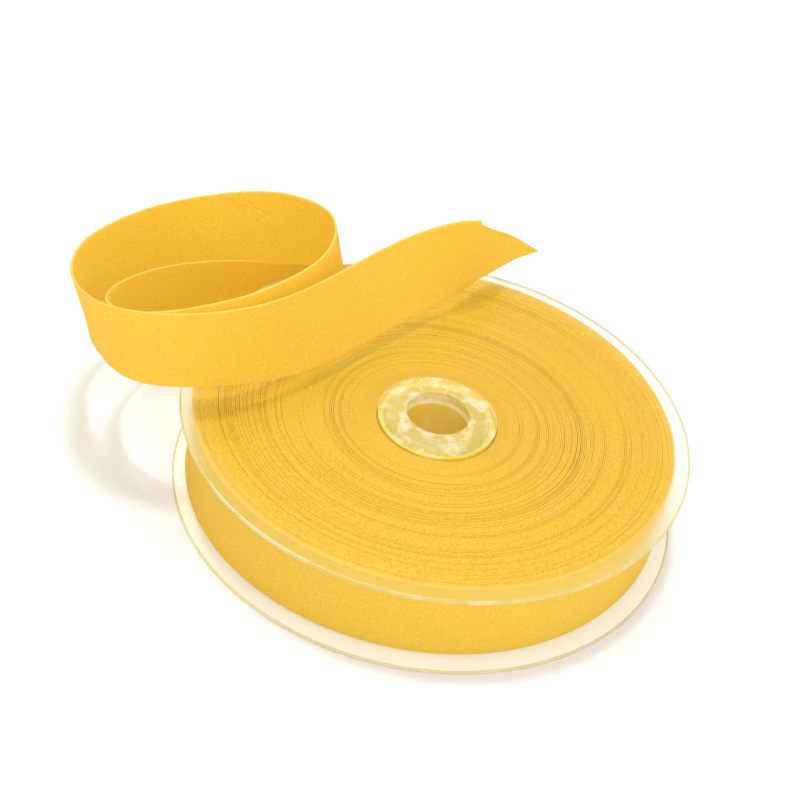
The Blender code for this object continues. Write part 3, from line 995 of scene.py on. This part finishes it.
    def relief(self, along, rows, seam, section, leave):
        """Small rises of the cloth: soft ripples, a thicker seam and the seam's own groove."""
        rng = np.random.default_rng(5)
        across = section["across"]
        free = smoothstep((along - leave - 10 * MM) / (30 * MM))
        ripple = 0.0
        for wave in RIPPLE_WAVES:
            phase = rng.uniform(0.0, 2.0 * math.pi, 2)[0]
            place = along / MM + rng.uniform(-1.0, 1.0) * across / MM
            ripple = ripple + np.sin(2.0 * math.pi * place / wave + phase)
        away = (rows - seam)[:, None] / MM
        allowance = SEAM_RISE * smoothstep((6.0 - np.abs(away)) / 2.0)
        hidden = np.where(section["cloth"] < -0.5 * (across.max() - across.min()), 0.3, 1.0)
        groove = SEAM_GROOVE * hidden * np.exp(-(away / 0.40) ** 2)
        outer = np.where(section["skin"], 1.0, 0.0) * section["side"]
        return RIPPLE * free * ripple + outer * (allowance - groove)


class BINDING_OT_stage(bpy.types.Operator):
    """Camera, plain pale floor and soft studio light"""

    bl_idname = "binding.stage"
    bl_label = "Stage"

    def execute(self, context):
        stage = context.scene.binding_stage
        self.camera(context, stage)
        self.floor(stage)
        self.lamps(stage)
        self.world(context, stage)
        context.scene.view_settings.view_transform = 'Standard'
        cycles = context.scene.cycles
        cycles.use_denoising = True
        cycles.max_bounces = 24
        cycles.transmission_bounces = 24
        cycles.transparent_max_bounces = 32
        cycles.diffuse_bounces = 6
        return {'FINISHED'}

    def camera(self, context, stage):
        """Camera that looks along +Y and down, turned about its line of sight."""
        data = bpy.data.cameras.new("camera")
        data.lens = stage.lens
        data.sensor_width = 36.0
        data.clip_start = 0.01
        data.clip_end = 50.0
        camera = place_in_scene("camera", data)
        e, roll = stage.elevation, stage.roll
        back = Vector((0.0, -math.cos(e), math.sin(e)))
        up = Vector((0.0, math.sin(e), math.cos(e)))
        right = Vector((1.0, 0.0, 0.0))
        side = right * math.cos(roll) + up * math.sin(roll)
        top = up * math.cos(roll) - right * math.sin(roll)
        aim = Vector((AXIS[0] + stage.aim_x, AXIS[1] + stage.aim_y, 0.0))
        turn = Matrix((side, top, back)).transposed().to_4x4()
        camera.matrix_world = Matrix.Translation(aim + back * stage.distance) @ turn
        context.scene.camera = camera

    def floor(self, stage):
        """Flat square of pale matt board just under the reel."""
        half, z = FLOOR_HALF, -FLOOR_GAP
        mesh = bpy.data.meshes.new("floor")
        mesh.from_pydata([(-half, -half, z), (half, -half, z), (half, half, z), (-half, half, z)],
                         [], [(0, 1, 2, 3)])
        material, tree, shader = new_material("pale board")
        set_inputs(tree, shader, Base_Color=(*stage.floor, 1.0), Roughness=0.8,
                   Specular_IOR_Level=0.1)
        mesh.materials.append(material)
        place_in_scene("floor", mesh)

    def lamps(self, stage):
        """Square lamps that shine on the middle of the reel."""
        for name, place, size, share in LAMPS:
            data = bpy.data.lights.new(name, 'AREA')
            data.size = size
            data.energy = share * stage.key
            lamp = place_in_scene(name, data)
            lamp.location = place
            away = lamp.location - Vector((0.0, 0.0, LIT_HEIGHT))
            lamp.rotation_euler = away.to_track_quat('Z', 'Y').to_euler()

    def world(self, context, stage):
        """Even white light and a white background; reflections see a dim room."""
        world = bpy.data.worlds.new("studio")
        world.use_nodes = True
        tree = world.node_tree
        white = (1.0, 1.0, 1.0, 1.0)
        path = add_node(tree, 'ShaderNodeLightPath')
        shader = tree.nodes["Background"]
        set_inputs(tree, shader, Color=white, Strength=stage.fill)
        mirrored = add_math(tree, 'MULTIPLY', path.outputs["Is Glossy Ray"],
                            path.outputs["Is Reflection Ray"])
        for ray, strength in ((mirrored, 0.30), (path.outputs["Is Camera Ray"], 1.0)):
            other = add_node(tree, 'ShaderNodeBackground', Color=white, Strength=strength)
            shader = add_node(tree, 'ShaderNodeMixShader', in0=ray, in1=shader.outputs[0],
                              in2=other.outputs[0])
        set_inputs(tree, tree.nodes["World Output"], Surface=shader.outputs[0])
        context.scene.world = world


class BINDING_PT_panel(bpy.types.Panel):
    """Lists the sizes, the finishes and the pieces in the sidebar"""

    bl_idname = "BINDING_PT_panel"
    bl_label = "Bias binding roll"
    bl_space_type = 'VIEW_3D'
    bl_region_type = 'UI'
    bl_category = "Binding"

    def draw(self, context):
        for group in (context.scene.binding_reel, context.scene.binding_sizes,
                      context.scene.binding_finish, context.scene.binding_stage):
            box = self.layout.box()
            for key in group.__annotations__:
                box.prop(group, key)
        for operator in PIECES:
            self.layout.operator(operator.bl_idname)


PIECES = (
    BINDING_OT_stage,
    BINDING_OT_reel_discs,
    BINDING_OT_hub_tubes,
    BINDING_OT_wound_turns,
    BINDING_OT_loose_binding,
)
SETTINGS = {
    "binding_reel": ReelSettings,
    "binding_sizes": BindingSettings,
    "binding_finish": FinishSettings,
    "binding_stage": StageSettings,
}


def register():
    for name, group in SETTINGS.items():
        bpy.utils.register_class(group)
        setattr(bpy.types.Scene, name, bpy.props.PointerProperty(type=group))
    for operator in PIECES:
        bpy.utils.register_class(operator)
    bpy.utils.register_class(BINDING_PT_panel)


def unregister():
    bpy.utils.unregister_class(BINDING_PT_panel)
    for operator in reversed(PIECES):
        bpy.utils.unregister_class(operator)
    for name, group in SETTINGS.items():
        delattr(bpy.types.Scene, name)
        bpy.utils.unregister_class(group)


def main():
    for old in list(bpy.data.objects):
        if "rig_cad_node" not in old and not old.name.startswith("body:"):
            bpy.data.objects.remove(old, do_unlink=True)
    register()
    bpy.ops.binding.stage()
    bpy.ops.binding.reel_discs()
    bpy.ops.binding.hub_tubes()
    bpy.ops.binding.wound_turns()
    bpy.ops.binding.loose_binding()


if __name__ == "__main__":
    main()
